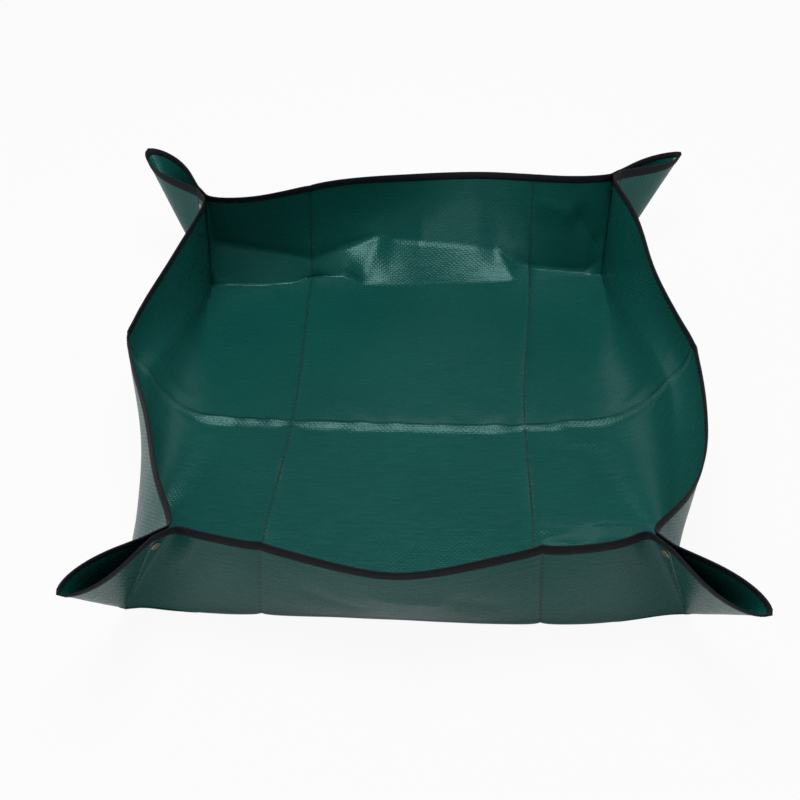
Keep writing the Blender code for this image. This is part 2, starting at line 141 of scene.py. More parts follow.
# Where each corner of the floor lies, as shares of half the flat floor, the direction of its pinch
# and of its ear, the ear's angle to the pinch, and how far the ear's fold leans to one side.
CORNERS = {
    "front_left": {
        "floor_share": (-0.954, -0.948),
        "pinch_share": (0.41, 0.00, 0.91),
        "ear_share": (-0.60, -0.72, 0.35),
        "ear_deg": 43.0,
        "fold_lean_share": 0.09,
    },
    "front_right": {
        "floor_share": (0.974, -0.930),
        "pinch_share": (-0.27, -0.09, 0.96),
        "ear_share": (0.61, -0.77, 0.16),
        "ear_deg": 43.0,
        "fold_lean_share": 0.01,
    },
    "back_right": {
        "floor_share": (0.799, 0.910),
        "pinch_share": (0.09, 0.29, 0.95),
        "ear_share": (0.48, 0.72, -0.50),
        "ear_deg": 42.5,
        "fold_lean_share": -0.15,
    },
    "back_left": {
        "floor_share": (-0.914, 0.830),
        "pinch_share": (0.02, 0.11, 0.99),
        "ear_share": (-0.52, 0.76, -0.38),
        "ear_deg": 41.5,
        "fold_lean_share": 0.10,
    },
}

# At five stations along each wall the rim leans outward by lean_deg and slides along the wall by
# slide_share of the wall's height, and the base line bows outward by bow_share of it. The cloth
# starts to rise inset before the base line and has turned into the wall at bend above it.
# Each packing crease has its place on the flat sheet, in thirds from the middle, its place along
# the folded wall, and how far it kinks the rim outward.
# On the back wall the cloth rises in slopes instead. Its knees say where they turn into the wall:
# place along the flat wall, distance out and up from the base line, how far outside that line the
# slope starts, all in millimetres, and how straight it is. knee_ends are the same turn's reaches on
# the two pinches.
WALLS = {
    "front": {
        "corners": ("front_left", "front_right"),
        "along": (1, 0, 0),
        "out": (0, -1, 0),
        "lean_deg": (3, 13, 22, 14, 6),
        "slide_share": (0.24, 0.09, 0.02, -0.03, -0.09),
        "bow_share": (0.03, 0.08, 0.11, 0.14, 0.07),
        "bend": 15.0 * MM,
        "inset": 15.0 * MM,
        "creases": ((-1, -162 * MM, -1.5 * MM), (1, 164 * MM, -6.0 * MM)),
    },
    "right": {
        "corners": ("front_right", "back_right"),
        "along": (0, 1, 0),
        "out": (1, 0, 0),
        "lean_deg": (-4, 17, 19, 11, 7),
        "slide_share": (-0.16, 0.00, 0.01, 0.09, 0.22),
        "bow_share": (0.00, 0.00, 0.00, 0.00, 0.00),
        "bend": 85.0 * MM,
        "inset": 85.0 * MM,
        "creases": ((0, -5 * MM, 8.0 * MM),),
    },
    "back": {
        "corners": ("back_right", "back_left"),
        "along": (-1, 0, 0),
        "out": (0, 1, 0),
        "lean_deg": (14, 41, 41, 16, 1),
        "slide_share": (-0.07, -0.05, 0.01, -0.02, -0.03),
        "bow_share": (0.00, 0.00, 0.00, 0.00, 0.00),
        "knees": (
            (-300, 1, 3, -10, 0.3),
            (-169, 12, 5, -14, 0.3),
            (-145, 17, 14, -14, 0.6),
            (-116, 32, 28, -15, 0.85),
            (-88, 42, 25, -18, 0.7),
            (0, 61, 22, -20, 0.45),
            (44, 60, 31, -18, 0.6),
            (62, 59, 40, -15, 0.85),
            (90, 48, 37, -12, 0.85),
            (116, 38, 35, 8, 0.85),
            (160, 22, 26, 14, 0.6),
            (200, 21, 35, -4, 0.9),
            (253, 20, 47, -8, 0.9),
            (335, 19, 67, -6, 0.9),
        ),
        "knee_ends": (30.0 * MM, 72.0 * MM),
        "creases": ((-1, -164 * MM, 2.0 * MM), (1, 162 * MM, 2.0 * MM)),
    },
    "left": {
        "corners": ("back_left", "front_left"),
        "along": (0, -1, 0),
        "out": (-1, 0, 0),
        "lean_deg": (-2, 8, 12, -5, -21),
        "slide_share": (-0.11, -0.04, -0.04, 0.00, 0.01),
        "bow_share": (0.00, 0.00, 0.03, 0.08, 0.07),
        "bend": 85.0 * MM,
        "inset": 85.0 * MM,
        "creases": ((0, 5 * MM, 10.0 * MM),),
    },
}

# Folds that the cloth keeps, as lines on the flat sheet in millimetres from its middle: where they
# start and end, how far they stand into the tray, and how wide they are to their left and right.
FOLDS = (
    ((-328, 411), (-165, 375), -2.5, 9, 14),
    ((-165, 375), (-62, 413), -2.5, 8, 14),
    ((-62, 413), (-87, 335), 4.0, 9, 20),
    ((-118, 360), (-87, 333), -4.0, 8, 8),
    ((-62, 413), (118, 384), -1.0, 12, 24),
    ((118, 384), (168, 355), -2.5, 8, 14),
    ((118, 384), (147, 320), 4.0, 14, 14),
    ((168, 355), (300, 345), -2.5, 8, 14),
    ((300, 345), (345, 372), -2.5, 12, 12),
    ((180, 459), (262, 440), 3.0, 14, 18),
    ((262, 440), (330, 380), -5.0, 16, 16),
    ((190, -215), (345, -300), 4.0, 16, 16),
    ((172, -190), (330, -205), 3.5, 20, 14),
    ((205, -30), (290, -45), 1.6, 10, 10),
    ((215, -8), (280, -28), 1.4, 9, 9),
    ((-345, 350), (-240, 300), 3.0, 14, 14),
    ((-330, -345), (-230, -300), 3.0, 16, 16),
    ((-420, 40), (-330, 20), 3.0, 14, 14),
    ((420, 30), (330, 10), 3.0, 14, 14),
    ((-120, -430), (-40, -395), 2.0, 12, 12),
    ((-30, -440), (60, -420), -2.4, 12, 12),
    ((60, -430), (120, -400), 2.0, 12, 12),
)

# Facets, in millimetres too: the cloth to the right of the line from start to end slopes up into
# the tray by the rise, over the width.
RAMPS = (
    ((184, -204), (258, -187), 11.0, 32),
    ((258, -187), (345, -199), 11.0, 32),
)


class RepottingMatCloth(bpy.types.PropertyGroup):
    """Sizes of the sheet and how finely its folds are drawn."""

    side: FloatProperty(
        name="Side", description="Edge of the flat sheet", default=1.0, unit="LENGTH"
    )
    wall: FloatProperty(
        name="Wall", description="Height of the folded walls", default=0.158, unit="LENGTH"
    )
    thickness: FloatProperty(
        name="Thickness", description="Laminate thickness", default=0.5 * MM, unit="LENGTH"
    )
    columns: IntProperty(name="Columns", description="Columns along each wall", default=140)
    rows: IntProperty(name="Rows", description="Rows up each wall", default=30)
    ear_columns: IntProperty(
        name="Ear columns", description="Columns on each side of an ear", default=44
    )
    crease_rise: FloatProperty(
        name="Crease rise", description="Packing crease height", default=3.0 * MM, unit="LENGTH"
    )
    wrinkle: FloatProperty(
        name="Wrinkle", description="Soft wrinkle depth", default=1.6 * MM, unit="LENGTH"
    )


class RepottingMatTape(bpy.types.PropertyGroup):
    """Sizes of the edge tape and its stitches."""

    width: FloatProperty(
        name="Width", description="How far the tape reaches in", default=12 * MM, unit="LENGTH"
    )
    thickness: FloatProperty(
        name="Thickness", description="One layer of tape", default=0.6 * MM, unit="LENGTH"
    )
    gap: FloatProperty(
        name="Gap", description="Between tape and laminate", default=0.15 * MM, unit="LENGTH"
    )
    inner_share: FloatProperty(
        name="Inner leg", description="Inner leg to outer leg", default=0.8, subtype="FACTOR"
    )
    stitch: FloatProperty(
        name="Stitch", description="Length of one stitch", default=2.9 * MM, unit="LENGTH"
    )
    pitch: FloatProperty(
        name="Pitch", description="From stitch to stitch", default=3.6 * MM, unit="LENGTH"
    )
    thread: FloatProperty(
        name="Thread", description="Radius of the thread", default=0.22 * MM, unit="LENGTH"
    )
    inset: FloatProperty(
        name="Inset", description="Seam from the tape's inner edge", default=2.4 * MM, unit="LENGTH"
    )


def shares_of(text):
    """The three sRGB shares of a colour written as hex text."""
    return tuple(int(text[i : i + 2], 16) / 255 for i in (1, 3, 5))


class RepottingMatFinish(bpy.types.PropertyGroup):
    """Colours of the materials, in sRGB."""

    laminate: FloatVectorProperty(
        name="Laminate", description="Green of the laminate", default=shares_of("#135C54"),
        size=3, subtype="COLOR_GAMMA",
    )
    laminate_deep: FloatVectorProperty(
        name="Laminate, deep", description="Darker green patches", default=shares_of("#0F504B"),
        size=3, subtype="COLOR_GAMMA",
    )
    # Pale rubbed film on the creases, which also serves as a painted highlight beside the middle
    # crease.
    scuff: FloatVectorProperty(
        name="Scuff", description="Rubbed film on the creases", default=shares_of("#7FA99D"),
        size=3, subtype="COLOR_GAMMA",
    )
    # Painted shade along the line of each crease.
    painted_crease_shade: FloatVectorProperty(
        name="Painted_shade", description="Dark line of each crease", default=shares_of("#062C28"),
        size=3, subtype="COLOR_GAMMA",
    )
    gloss: FloatVectorProperty(
        name="Gloss", description="Tint of the film's gloss", default=shares_of("#B8F0EE"),
        size=3, subtype="COLOR_GAMMA",
    )
    tape: FloatVectorProperty(
        name="Tape", description="Dark plum of the edge tape", default=shares_of("#10131A"),
        size=3, subtype="COLOR_GAMMA",
    )
    metal: FloatVectorProperty(
        name="Snap metal", description="Warm nickel of the snaps", default=shares_of("#C0A79A"),
        size=3, subtype="COLOR_GAMMA",
    )


class RepottingMatStage(bpy.types.PropertyGroup):
    """The camera, found from the grid of packing creases in the photograph."""

    elevation: FloatProperty(
        name="Elevation", description="Camera above the floor", default=math.radians(44.0),
        unit="ROTATION",
    )
    turn: FloatProperty(
        name="Turn", description="Camera turned round the mat", default=math.radians(-4.62),
        unit="ROTATION",
    )
    roll: FloatProperty(
        name="Roll", description="Camera turned about its own line", default=math.radians(-2.76),
        unit="ROTATION",
    )
    distance: FloatProperty(
        name="Distance", description="Camera to the mat", default=1.8304, unit="LENGTH"
    )
    focal_px: FloatProperty(
        name="Focal length", description="In pixels of the frame", default=1361.4, subtype="PIXEL"
    )
    centre_x_px: FloatProperty(
        name="Centre X", description="Mat's middle right of centre", default=10.96, subtype="PIXEL"
    )
    centre_y_px: FloatProperty(
        name="Centre Y", description="Mat's middle below centre", default=19.03, subtype="PIXEL"
    )


def unit(vector):
    """The vector divided by its length."""
    vector = np.array(vector, float)
    return vector / np.linalg.norm(vector)


def across(vectors):
    """Each row divided by its length."""
    return vectors / np.maximum(np.linalg.norm(vectors, axis=-1, keepdims=True), 1e-12)


class Corner:
    """One corner of the folded sheet: its pinch plane and the cone of its ear."""

    def __init__(self, name, cloth):
        facts = CORNERS[name]
        half = cloth.side / 2 - cloth.wall
        self.name = name
        self.wall = cloth.wall
        self.foot = np.array((facts["floor_share"][0] * half, facts["floor_share"][1] * half, 0.0))
        self.pinch = unit(facts["pinch_share"])
        out = np.array(facts["ear_share"], float)
        self.ear = unit(out - out.dot(self.pinch) * self.pinch)
        self.normal = np.cross(self.pinch, self.ear)
        self.level = unit((self.normal[0], self.normal[1], 0.0))
        angle = math.radians(facts["ear_deg"])
        lean = facts["fold_lean_share"] * self.normal
        self.tip = unit(math.cos(angle) * self.pinch + math.sin(angle) * self.ear + lean)
        self.hinge = self.ray(PINCH_FLAT)
        self.tilt = (LAYER_GAP / 2 - CORNER_FOLD) / (cloth.wall - SNAP_INSET)
        self.bulge = {side: self.loop_bulge(side) for side in (1, -1)}

    def ray(self, angle):
        """The direction at this angle from the pinch toward the ear."""
        return math.cos(angle) * self.pinch + math.sin(angle) * self.ear

    def base(self, side):
        """Where the pinch's layer on this side, 1 or -1, stands on the floor."""
        return self.foot + side * CORNER_FOLD * self.level

    def layer(self, side, reach, angle):
        """A point of one layer of the pinch."""
        return self.base(side) + reach * (self.ray(angle) + side * self.tilt * self.normal)

    def loop(self, side, share, bulge):
        """A ray of the ear's cone, at a share of the way from its hinge to its tip."""
        swell = share**EAR_ROUND_SHARE * (1 - share) ** EAR_TIP_SHARE
        straight = (1 - share) * self.hinge + share * self.tip
        return unit(straight + side * bulge * swell * self.normal)

    def loop_bulge(self, side):
        """How far the ear opens, so that its cloth keeps the width that the flat sheet gives it."""
        shares = np.linspace(0, 1, 60)
        low, high = 0.0, 1.0
        for _ in range(30):
            middle = (low + high) / 2
            rays = np.array([self.loop(side, share, middle) for share in shares])
            length = np.linalg.norm(np.diff(rays, axis=0), axis=1).sum()
            if length < math.pi / 4 - PINCH_FLAT:
                low = middle
            else:
                high = middle
        return low

    def cloth(self, side, share, reach):
        """A point of the ear, at this reach from the floor's corner."""
        ray = self.loop(side, share, self.bulge[side])
        apart = side * (1 - share) * (CORNER_FOLD * self.level + self.tilt * reach * self.normal)
        return self.foot + reach * ray + apart


def smooth_curve(stations, points, first_slope, last_slope, wanted):
    """The cubic spline through the points, with the given slopes at its ends."""
    t, p = np.array(stations, float), np.array(points, float)
    step = np.diff(t)
    count = len(t)
    matrix, right = np.eye(count), np.zeros_like(p)
    right[0], right[-1] = first_slope, last_slope
    for i in range(1, count - 1):
        matrix[i, i - 1 : i + 2] = step[i], 2 * (step[i - 1] + step[i]), step[i - 1]
        before = (p[i] - p[i - 1]) / step[i - 1]
        after = (p[i + 1] - p[i]) / step[i]
        right[i] = 3 * (step[i] * before + step[i - 1] * after)
    slope = np.linalg.solve(matrix, right)
    i = np.clip(np.searchsorted(t, wanted) - 1, 0, count - 2)
    s = ((wanted - t[i]) / step[i])[:, None]
    h = step[i][:, None]
    return (
        (1 + 2 * s) * (1 - s) ** 2 * p[i]
        + s * (1 - s) ** 2 * h * slope[i]
        + s * s * (3 - 2 * s) * p[i + 1]
        + s * s * (s - 1) * h * slope[i + 1]
    )


def wall_shares(cloth, creases):
    """Places along a wall, closer together near its ends and beside its packing creases."""
    even = np.linspace(0, 1, 2001)
    density = 1 + np.exp(-even / END_DENSE_SHARE) + np.exp(-(1 - even) / END_DENSE_SHARE)
    for place in creases:
        density += CREASE_DENSITY * np.exp(-np.abs(even - place) / CREASE_DENSE_SHARE)
    total = np.concatenate([[0.0], np.cumsum((density[1:] + density[:-1]) / 2)])
    shares = np.interp(np.linspace(0, total[-1], cloth.columns + 1), total, even)
    for place in creases:
        shares[np.argmin(np.abs(shares - place))] = place
    return shares


def crease_places(wall, cloth):
    """The packing creases that cross a wall, as shares of its length on the flat sheet."""
    length = cloth.side - 2 * cloth.wall
    return [0.5 + third * CREASE_SHARE * cloth.side / length for third, _, _ in wall["creases"]]


def rim_and_base(wall, cloth, corners, flat_shares):
    """Points of one wall's free rim and of its base line, and their places along the wall."""
    first, last = (corners[corner] for corner in wall["corners"])
    along, out = np.array(wall["along"], float), np.array(wall["out"], float)
    start, end = first.base(1), last.base(-1)
    length = np.linalg.norm(end - start)
    edge = cloth.wall / math.cos(PINCH_FLAT)
    points = [first.layer(1, edge, -PINCH_FLAT)]
    for share, lean, slide in zip(WALL_STATIONS_SHARE, wall["lean_deg"], wall["slide_share"]):
        angle = math.radians(lean)
        reach = REACH_SHARE * (math.sin(angle) * out + math.cos(angle) * UP)
        points.append((1 - share) * start + share * end + cloth.wall * (reach + slide * along))
    points.append(last.layer(-1, edge, -PINCH_FLAT))
    flat_places = crease_places(wall, cloth)
    span = (end - start).dot(along)
    places = [(place - start.dot(along)) / span for _, place, _ in wall["creases"]]
    shares = np.interp(flat_shares, [0.0, *flat_places, 1.0], [0.0, *places, 1.0])
    pull = END_PULL_SHARE * length
    stations = [0.0, *WALL_STATIONS_SHARE, 1.0]
    rim = smooth_curve(stations, points, -first.ear * pull, last.ear * pull, shares)
    for place, (_, _, kink) in zip(places, wall["creases"]):
        rim += kink * np.exp(-np.abs(shares - place) / KINK_SPREAD_SHARE)[:, None] * out
    bows = [cloth.wall * share * out for share in (0.0, *wall["bow_share"], 0.0)]
    base = (1 - shares)[:, None] * start + shares[:, None] * end
    base += smooth_curve(stations, bows, 0.0 * out, 0.0 * out, shares)
    return rim, base, shares


def first_slope(wall, along_flat, middle, base, climb, half):
    """Along one wall: how far outside the base line the cloth leaves the floor, the knee where its
    first slope turns into the wall, and how straight that slope is."""
    out = np.array(wall["out"], float)
    if "knees" not in wall:
        knee = base + (BEND_END + (wall["bend"] - BEND_END) * middle**2) * climb
        return -wall["inset"] * middle**2, knee, 0.0
    ends = [reach * way for reach, way in zip(wall["knee_ends"], (climb[0], climb[-1]))]
    turns = [(side * half / MM, *(end[[1, 2]] / MM), 0, 0) for side, end in zip((-1, 1), ends)]
    turns[1:1] = wall["knees"]
    places, *columns = np.array(turns).T
    outs, ups, starts, straight = (
        np.interp(along_flat / MM, places, column)[:, None] for column in columns
    )
    knee = base + outs * MM * out + ups * MM * UP
    knee[0], knee[-1] = base[0] + ends[0], base[-1] + ends[1]
    return starts * MM, knee, straight


def wall_grid(name, cloth, corners):
    """Outer points of one wall and where they lie on the flat sheet, as columns and rows."""
    wall = WALLS[name]
    along, out = np.array(wall["along"], float), np.array(wall["out"], float)
    flat_shares = wall_shares(cloth, crease_places(wall, cloth))
    rim, base, shares = rim_and_base(wall, cloth, corners, flat_shares)
    half = cloth.side / 2 - cloth.wall
    along_flat = -half + 2 * half * flat_shares
    middle = np.sin(math.pi * shares)[:, None]
    climb = across(rim - base)
    first, last = (corners[corner] for corner in wall["corners"])
    outward = across(np.cross(last.base(-1) - first.base(1), climb))
    start, knee, straight = first_slope(wall, along_flat, middle, base, climb, half)
    lift = np.linalg.norm(knee - base, axis=1)
    foot = base + start * out
    pull_in = base + straight * ((foot + knee) / 2 - base)
    bend_rows = max(cloth.rows // 3, 4)
    grid, away = [], []
    for t in np.arange(bend_rows) / bend_rows:
        grid.append((1 - t) ** 2 * foot + 2 * t * (1 - t) * pull_in + t * t * knee)
        away.append(start[:, 0] * (1 - t) + lift * t)
    for t in np.linspace(0, 1, cloth.rows - bend_rows + 1):
        grid.append(knee + t * (rim - knee) + BELLY * middle * math.sin(math.pi * t) * outward)
        away.append(lift + (cloth.wall - lift) * t)
    flat = [along_flat[:, None] * along[:2] + (half + far)[:, None] * out[:2] for far in away]
    return np.array(grid).transpose(1, 0, 2), np.array(flat).transpose(1, 0, 2)


def flat_corner(wall_name, side, cloth):
    """Where a pinch lies on the flat sheet: its origin and the axes along and beside its ray."""
    half = cloth.side / 2 - cloth.wall
    wall = WALLS[wall_name]
    along, out = np.array(wall["along"][:2], float), np.array(wall["out"][:2], float)
    return half * (out - side * along), out, -side * along


def main_grids(cloth, corners):
    """The four walls with their flat ends, and the floor, as point grids with flat coordinates."""
    grids = []
    for name in WALLS:
        first, last = (corners[corner] for corner in WALLS[name]["corners"])
        grid, flat = wall_grid(name, cloth, corners)
        parts, flats = [grid], [flat]
        for corner, side, column in ((first, 1, grid[0]), (last, -1, grid[-1])):
            reaches = np.linalg.norm(column - corner.base(side), axis=1)
            origin, ray_axis, side_axis = flat_corner(name, side, cloth)
            extra, extra_flat = [], []
            for i in range(1, EDGE_COLUMNS + 1):
                angle = -PINCH_FLAT + 2 * PINCH_FLAT * i / EDGE_COLUMNS
                scale = math.cos(PINCH_FLAT) / math.cos(angle)
                rays = [corner.layer(side, reach * scale, angle) for reach in reaches]
                extra.append(rays)
                turn = math.cos(angle) * ray_axis + math.sin(angle) * side_axis
                extra_flat.append(origin + (reaches * scale)[:, None] * turn)
            extra, extra_flat = np.array(extra), np.array(extra_flat)
            if side == 1:
                parts.insert(0, extra[::-1])
                flats.insert(0, extra_flat[::-1])
            else:
                parts.append(extra)
                flats.append(extra_flat)
        grids.append((np.concatenate(parts), np.concatenate(flats)))
    return grids


def floor_grid(cloth, walls, corners):
    """The floor panel, spread between the feet of the four walls and the points of the corners."""
    half = cloth.side / 2 - cloth.wall
    s = wall_shares(cloth, crease_places(WALLS["front"], cloth))[:, None, None]
    t = wall_shares(cloth, crease_places(WALLS["right"], cloth))[None, :, None]
    feet, flats = [], []
    for name, (grid, flat) in zip(WALLS, walls):
        wall = WALLS[name]
        along, out = np.array(wall["along"][:2], float), np.array(wall["out"][:2], float)
        foot, place = grid[WALL_COLUMNS, 0].copy(), flat[WALL_COLUMNS, 0].copy()
        foot[0], foot[-1] = (corners[corner].foot for corner in wall["corners"])
        place[0], place[-1] = half * (out - along), half * (out + along)
        feet.append(foot)
        flats.append(place)

    def spread(south, east, north, west):
        north, west = north[::-1], west[::-1]
        rows = (1 - t) * south[:, None] + t * north[:, None]
        columns = (1 - s) * west[None, :] + s * east[None, :]
        first, last = ((1 - t) * south[end] + t * north[end] for end in (0, -1))
        return rows + columns - ((1 - s) * first + s * last)

    return spread(*feet), spread(*flats)


def ear_walls(name):
    """The wall that ends at this corner, and the one that starts there."""
    ends = next(wall for wall, facts in WALLS.items() if facts["corners"][1] == name)
    starts = next(wall for wall, facts in WALLS.items() if facts["corners"][0] == name)
    return ends, starts


def ear_grid(corner, cloth):
    """The ear's cone as columns from seam to seam, each from the floor's corner to the rim."""
    first_wall, last_wall = ear_walls(corner.name)
    columns, flats = [], []
    count = cloth.ear_columns
    for i in range(-count, count + 1):
        side = -1 if i < 0 else 1
        share = 1 - abs(i) / count
        angle = PINCH_FLAT + (math.pi / 4 - PINCH_FLAT) * share
        edge = cloth.wall / math.cos(angle)
        reaches = np.linspace(0, edge, cloth.rows + 1)
        columns.append([corner.cloth(side, share, reach) for reach in reaches])
        wall = last_wall if side == 1 else first_wall
        origin, ray_axis, side_axis = flat_corner(wall, side, cloth)
        turn = math.cos(angle) * ray_axis + math.sin(angle) * side_axis
        flats.append(origin + reaches[:, None] * turn)
    return np.array(columns), np.array(flats)


def crease_shape(distance):
    """A packing crease: a sharp line with a softer rise on both sides."""
    soft, sharp = (np.exp(-np.abs(distance) / width) for width in (CREASE_SOFT, CREASE_SHARP))
    return (1 - CREASE_SHARP_SHARE) * soft + CREASE_SHARP_SHARE * sharp


def main_crease_shape(distance):
    """The middle packing crease: an edge with a straight slope on its near side."""
    near = np.clip(1 + distance / MAIN_CREASE_SLOPE, 0, 1)
    return np.where(distance < 0, near, np.exp(-np.abs(distance) / MAIN_CREASE_SOFT))


def beside_line(flat, start, end):
    """How far places on the flat sheet lie inside a line's nearer end, and to its left."""
    start, end = np.array(start) * MM, np.array(end) * MM
    length = np.linalg.norm(end - start)
    way = (end - start) / length
    offset = flat - start
    inside = (0.5 - np.abs(offset.dot(way) / length - 0.5)) * length
    return inside, offset[..., 1] * way[0] - offset[..., 0] * way[1]


def fold_shape(flat, start, end, rise, left, right):
    """One fold, which fades out toward both ends."""
    inside, aside = beside_line(flat, start, end)
    width = np.where(aside > 0, left, right) * MM
    beyond = np.minimum(inside, 0.0) / FOLD_END
    run_in = np.clip(0.5 + inside / FOLD_RUN_IN, 0, 1)
    return rise * MM * np.exp(-np.abs(aside) / width - beyond**2) * run_in


def ramp_shape(flat, start, end, rise, width):
    """One facet, which slopes up from its line and fades out toward both ends."""
    inside, aside = beside_line(flat, start, end)
    beyond = np.minimum(inside, 0.0) / RAMP_END
    up = np.clip(-aside / (width * MM), 0, 1)
    down = np.clip(RAMP_REACH_SHARE + aside / (width * MM), 0, 1)
    return rise * MM * up * down * np.exp(-(beyond**2))


def noise_over(flat, scale_u, scale_v, seed):
    """Smooth noise from -1 to 1 at places on the flat sheet."""
    made = np.zeros(flat.shape[:-1])
    for index in np.ndindex(made.shape):
        u, v = flat[index]
        made[index] = noise.noise(Vector((u * scale_u, v * scale_v, seed)))
    return made


def relief(flat, cloth):
    """How far creases, folds and wrinkles stand into the tray, at places on the flat sheet."""
    crease = CREASE_SHARE * cloth.side
    u, v = flat[..., 0], flat[..., 1]
    waver = WAVER * noise_over(flat, *CREASE_WAVER)
    strong = 1 + 0.35 * noise_over(flat, *CREASE_STRENGTH)
    rise = (1.35 + 0.8 * noise_over(flat, *MAIN_CREASE_BREAKS)) * main_crease_shape(v + waver)
    for line in (-crease, crease):
        rise = np.maximum(rise, THIRD_CREASE_SHARE * crease_shape(u - line + waver))
    rise = cloth.crease_rise * strong * rise
    for fold in FOLDS:
        rise = rise + fold_shape(flat, *fold)
    rise = rise + np.max([ramp_shape(flat, *ramp) for ramp in RAMPS], axis=0)
    soft = noise_over(flat, *BROAD_WRINKLES) + 0.35 * noise_over(flat, *FINE_WRINKLES)
    return rise + cloth.wrinkle * (0.5 + 0.5 * soft)


def grid_normals(grid):
    """The way out of the cloth at each point of a grid."""
    along = np.gradient(grid, axis=0)
    up = np.gradient(grid, axis=1)
    return across(np.cross(along, up))


def add_object(name, data):
    """An object at the origin with this data, linked to the collection."""
    made = bpy.data.objects.new(name, data)
    bpy.context.collection.objects.link(made)
    return made


class ClothMesh:
    """Collects grids of points into one mesh, joining those that lie at the same place."""

    def __init__(self):
        self.index, self.points, self.flat, self.faces = {}, [], [], []

    def vertex(self, point, flat):
        """The number of the vertex at this point, which is added if it is new."""
        key = tuple(np.round(point, 6))
        if key not in self.index:
            self.index[key] = len(self.points)
            self.points.append(np.array(point, float))
            self.flat.append(np.array(flat, float))
        return self.index[key]

    def add(self, grid, flat, turned=False):
        """Adds a grid's faces, the other way round where it is turned."""
        numbers = [[self.vertex(p, f) for p, f in zip(*pair)] for pair in zip(grid, flat)]
        for left, right in zip(numbers, numbers[1:]):
            for i in range(len(left) - 1):
                face = [left[i], right[i], right[i + 1], left[i + 1]]
                face = [n for k, n in enumerate(face) if n != face[k - 1]]
                if len(set(face)) > 2:
                    self.faces.append(face[::-1] if turned else face)

    def close(self, points, flats):
        """Adds one face."""
        self.faces.append([self.vertex(point, flat) for point, flat in zip(points, flats)])

    def build(self, name, lift):
        """The mesh as an object, with the relief on and the flat sheet as its UV map."""
        mesh = bpy.data.meshes.new(name)
        points = np.array(self.points)
        mesh.from_pydata([tuple(p) for p in points], [], self.faces)
        mesh.update()
        normals = np.array([v.normal for v in mesh.vertices])
        flat = np.array(self.flat)
        rise = lift(points, flat)
        moved = points - normals * rise[:, None]
        moved[:, 2] = np.maximum(moved[:, 2], 0.0)
        for vertex, place in zip(mesh.vertices, moved):
            vertex.co = place
        layer = mesh.uv_layers.new(name="flat sheet")
        for loop in mesh.loops:
            layer.data[loop.index].uv = flat[loop.vertex_index] + UV_MIDDLE
        for polygon in mesh.polygons:
            polygon.use_smooth = True
        return add_object(name, mesh)


def fade_near(points, places, radius):
    """0 at the places and 1 beyond the radius, smooth in between."""
    near = np.full(len(points), 1.0)
    for place in places:
        share = np.clip(np.linalg.norm(points - place, axis=1) / radius, 0, 1)
        near *= share * share * (3 - 2 * share)
    return near


def node(tree, kind, inputs=None, **settings):
    """Adds a node with its settings, and with values, sockets or first outputs on its inputs."""
    made = tree.nodes.new(kind)
    for name, value in settings.items():
        setattr(made, name, value)
    for name, value in (inputs or {}).items():
        if isinstance(value, bpy.types.Node):
            value = value.outputs[0]
        if isinstance(value, bpy.types.NodeSocket):
            tree.links.new(value, made.inputs[name])
        else:
            made.inputs[name].default_value = value
    return made


def linear(colour):
    """An sRGB colour, as hex text or as three shares, to scene linear with an alpha of 1."""
    shares = shares_of(colour) if isinstance(colour, str) else colour
    values = [c / 12.92 if c <= 0.04045 else ((c + 0.055) / 1.055) ** 2.4 for c in shares]
    return (*values, 1.0)


def new_material(name):
    """A material with its tree and its Principled BSDF."""
    made = bpy.data.materials.new(name)
    made.use_nodes = True
    tree = made.node_tree
    return made, tree, tree.nodes["Principled BSDF"]


def near_line(tree, coordinate, place, width):
    """1 on a line across the sheet, falling to 0 at the given distance from it."""
    away = node(tree, "ShaderNodeMath", {0: coordinate, 1: place}, operation="SUBTRACT")
    away = node(tree, "ShaderNodeMath", {0: away}, operation="ABSOLUTE")
    share = node(tree, "ShaderNodeMath", {0: away, 1: width}, operation="DIVIDE")
    rest = node(tree, "ShaderNodeMath", {0: 1.0, 1: share}, operation="SUBTRACT")
    return node(tree, "ShaderNodeMath", {0: rest, 1: 0.0}, operation="MAXIMUM")


def along_creases(tree, u, v, shift, width, third_width):
    """1 along the packing creases: the middle one, moved by the shift, and those at the thirds."""
    lines = near_line(tree, v, UV_MIDDLE + shift, width)
    for place in (UV_MIDDLE - CREASE_SHARE, UV_MIDDLE + CREASE_SHARE):
        third = near_line(tree, u, place, third_width)
        lines = node(tree, "ShaderNodeMath", {0: lines, 1: third}, operation="MAXIMUM")
    return lines


